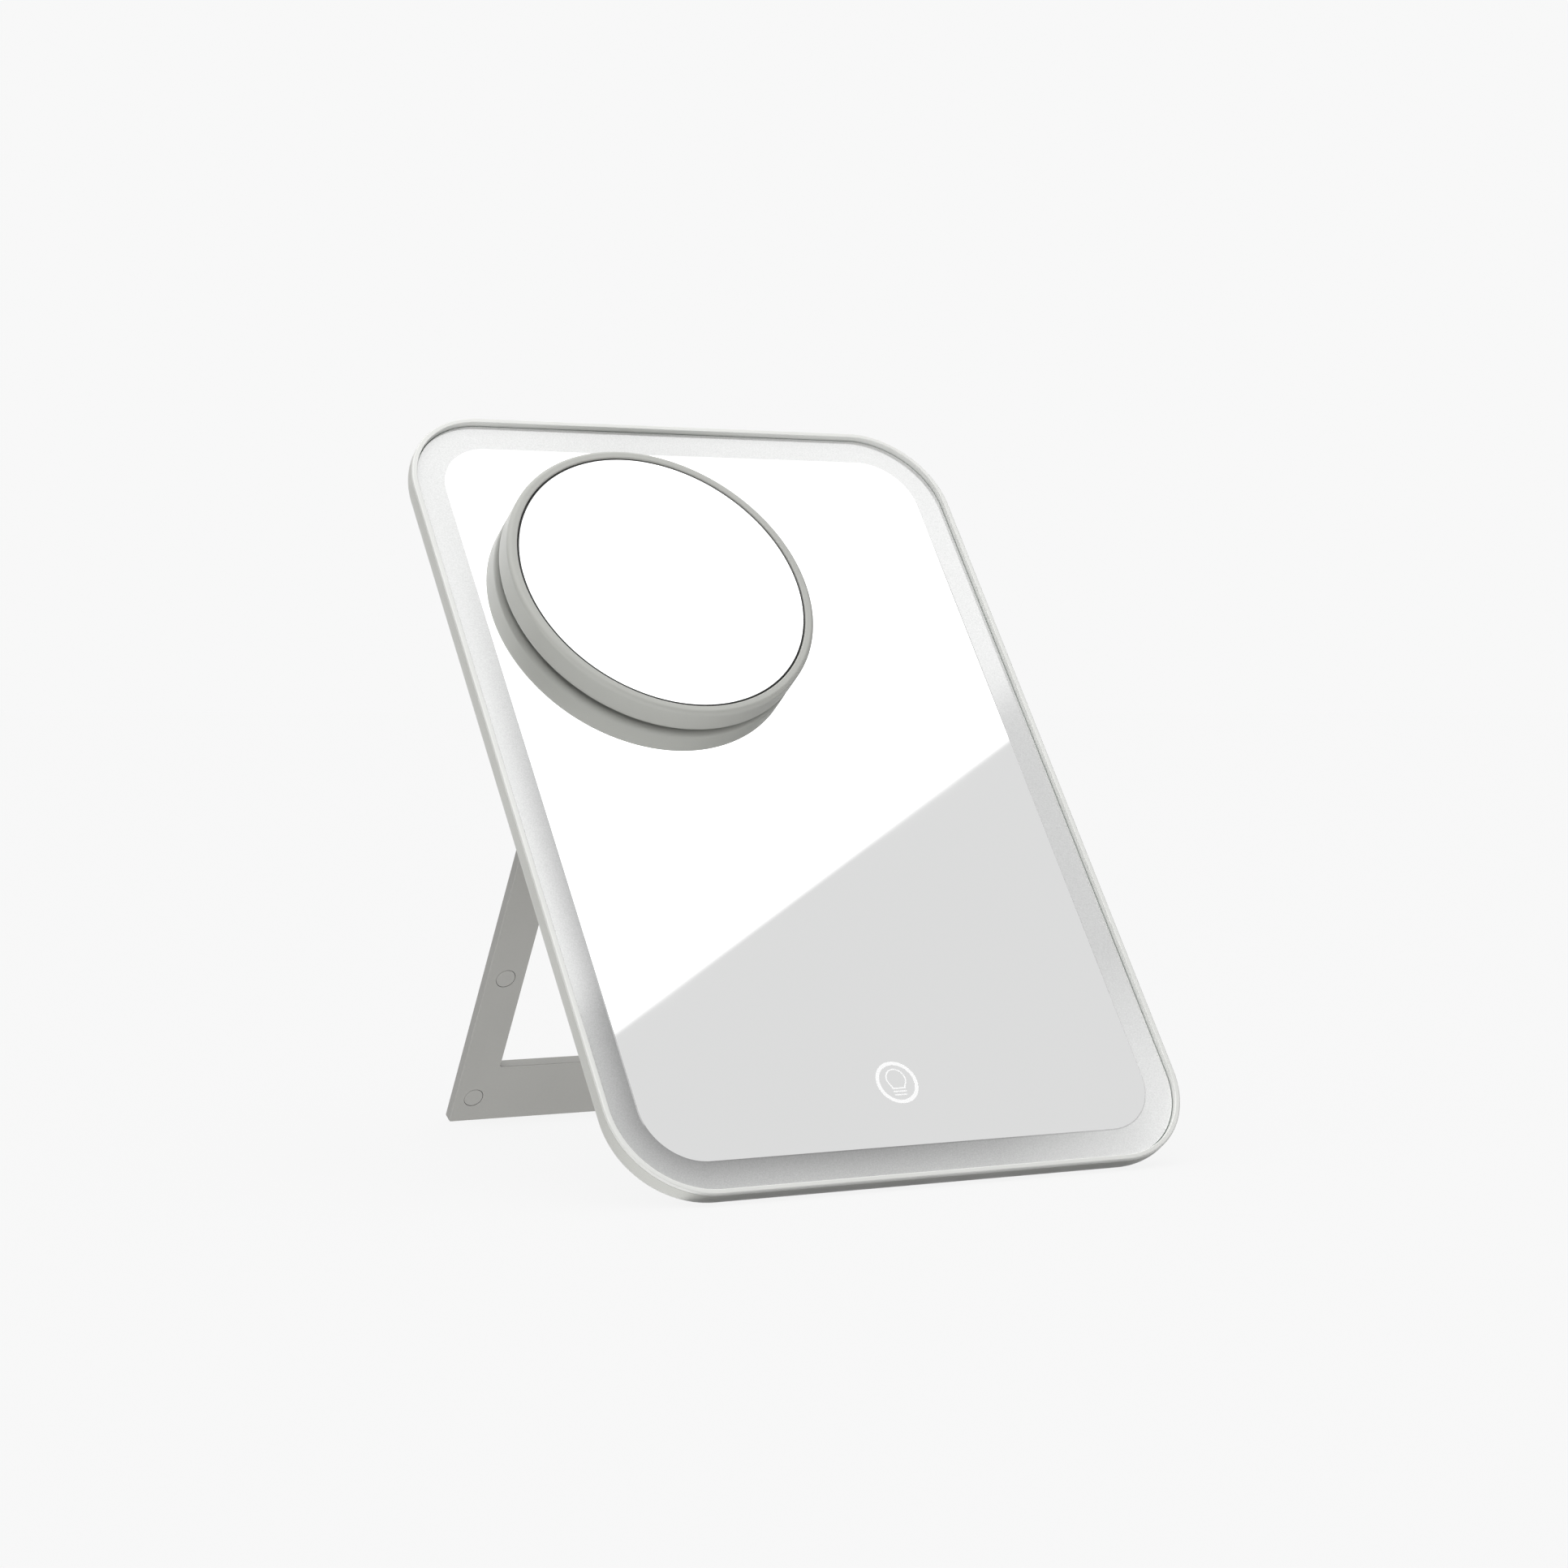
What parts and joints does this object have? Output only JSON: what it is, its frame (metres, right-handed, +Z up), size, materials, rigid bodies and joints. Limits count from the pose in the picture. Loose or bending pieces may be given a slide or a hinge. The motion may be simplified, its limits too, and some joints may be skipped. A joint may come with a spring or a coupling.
{
  "type": "table mirror",
  "caption": "Lighted table mirror leaning on a folding loop stand, with a frosted light band round the glass and a round magnetic magnifier.",
  "frame": {"origin": "centre of the whole object's footprint, on the ground", "axes": "+Z up, the mirror faces -Y and leans back towards +Y, +X to the viewer's right"},
  "size_m": [0.197, 0.2072, 0.231],
  "materials": {
    "body_plastic": "satin moulded ABS, pale warm grey-white",
    "stand_plastic": "satin moulded ABS, pale warm grey",
    "mirror_silver": "silvered float glass, with a frosted light band round its edge",
    "acrylic": "clear acrylic light guide",
    "white_sheet": "white reflector sheet",
    "flex_circuit": "white flexible circuit with yellow-white LEDs",
    "battery_foil": "laminated pouch foil",
    "foam": "black foam tape",
    "circuit_board": "green solder resist",
    "chip_black": "black moulded packages and insulation",
    "steel": "plain steel",
    "magnet_nickel": "nickel-plated neodymium magnet",
    "silicone": "soft dark silicone",
    "wire_red": "red insulation",
    "wire_white": "white insulation"
  },
  "bodies": {
    "mirror_body": {"rear_housing": "body_plastic", "front_frame": "body_plastic", "mirror_glass": "mirror_silver", "light_guide_ring": "acrylic", "reflector_ring": "white_sheet", "led_strip_bottom": "flex_circuit", "led_strip_right": "flex_circuit", "led_strip_top": "flex_circuit", "led_strip_left": "flex_circuit", "battery_cell": "battery_foil", "battery_tape": "foam", "control_board": "circuit_board", "charger_chip": "chip_black", "touch_chip": "chip_black", "inductor": "chip_black", "board_screw_1": "steel", "board_screw_2": "steel", "usb_socket": "steel", "magnet_plate": "steel", "touch_board": "circuit_board", "stand_keeper_left": "steel", "stand_keeper_right": "steel", "touch_lead": "wire_white", "battery_lead_positive": "wire_red", "battery_lead_negative": "chip_black", "hinge_pin_left": "steel", "hinge_pin_right": "steel"},
    "stand": {"stand_frame": "stand_plastic", "stand_cap_left_lower": "stand_plastic", "stand_magnet_left_lower": "magnet_nickel", "stand_cap_left_upper": "stand_plastic", "stand_magnet_left_upper": "magnet_nickel", "stand_cap_right_lower": "stand_plastic", "stand_magnet_right_lower": "magnet_nickel", "stand_cap_right_upper": "stand_plastic", "stand_magnet_right_upper": "magnet_nickel"},
    "magnifier": {"magnifier_case": "body_plastic", "magnifier_glass": "mirror_silver", "magnifier_foam": "foam", "magnifier_back_cover": "body_plastic", "magnifier_pad": "silicone", "magnifier_magnet_1": "magnet_nickel", "magnifier_magnet_2": "magnet_nickel", "magnifier_magnet_3": "magnet_nickel", "magnifier_magnet_4": "magnet_nickel"}
  },
  "joints": [
    {"name": "stand_fold", "type": "hinge", "parent": "mirror_body", "child": "stand", "pos_m": [0, 0.01278, 0.14733], "axis": [1, 0, 0], "range_deg": [-67.2, 0]},
    {"name": "magnifier_pull", "type": "slide", "parent": "mirror_body", "child": "magnifier", "axis": [0, -0.8111, 0.585], "range_m": [0, 0.05]}
  ]
}
